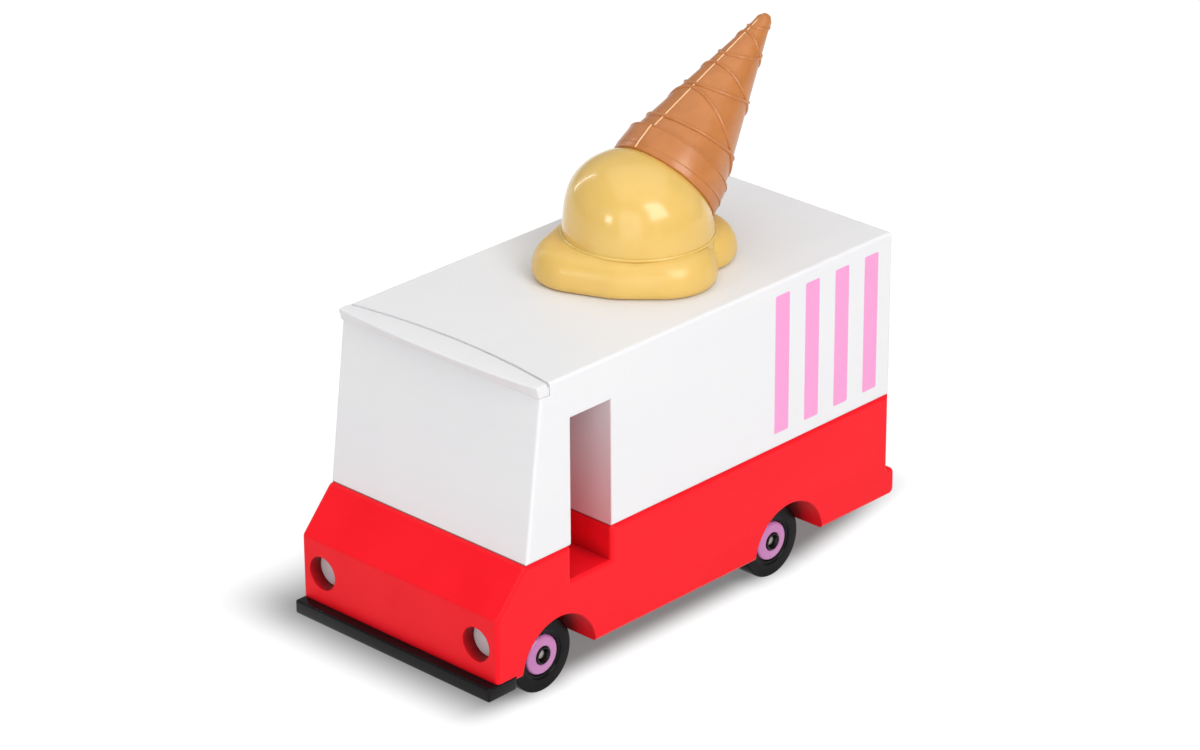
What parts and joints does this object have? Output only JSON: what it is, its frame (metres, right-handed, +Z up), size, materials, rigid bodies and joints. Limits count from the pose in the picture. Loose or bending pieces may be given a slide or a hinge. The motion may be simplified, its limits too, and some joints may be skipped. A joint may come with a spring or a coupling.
{
  "type": "toy ice cream truck",
  "caption": "Painted wooden toy ice cream truck with a through door slot, rolling wheelsets and a melting upside-down ice cream cone on its roof.",
  "frame": {"origin": "on the floor under the middle of the toy", "axes": "+Z up, the front faces -Y, X across the width"},
  "size_m": [0.064, 0.1406, 0.1311],
  "materials": {
    "red_paint": "satin paint over solid wood",
    "white_paint": "satin paint over solid wood, pink bars on the sides",
    "black_paint": "satin paint over a wooden strip",
    "lamp_face": "gloss",
    "ice_cream": "gloss",
    "wafer": "satin",
    "tyre": "matte",
    "lilac_plastic": "gloss",
    "black_plastic": "satin",
    "steel": "turned and brushed"
  },
  "bodies": {
    "truck": {"lower_body": "red_paint", "upper_body": "white_paint", "visor": "white_paint", "front_bumper": "black_paint", "headlight_left": "lamp_face", "headlight_right": "lamp_face", "front_axle_strip": "black_paint", "rear_axle_strip": "black_paint", "ice_cream": "ice_cream", "cone": "wafer"},
    "front_wheelset": {"front_axle": "steel", "front_tyre_left": "tyre", "front_tyre_right": "tyre", "front_hub_left": "lilac_plastic", "front_hub_right": "lilac_plastic", "front_ring_left": "black_plastic", "front_ring_right": "black_plastic"},
    "rear_wheelset": {"rear_axle": "steel", "rear_tyre_left": "tyre", "rear_tyre_right": "tyre", "rear_hub_left": "lilac_plastic", "rear_hub_right": "lilac_plastic", "rear_ring_left": "black_plastic", "rear_ring_right": "black_plastic"}
  },
  "joints": [
    {"name": "front_wheels", "type": "hinge", "parent": "truck", "child": "front_wheelset", "pos_m": [0, -0.0473, 0.0092], "axis": [1, 0, 0], "continuous": true},
    {"name": "rear_wheels", "type": "hinge", "parent": "truck", "child": "rear_wheelset", "pos_m": [0, 0.0316, 0.0092], "axis": [1, 0, 0], "continuous": true}
  ]
}
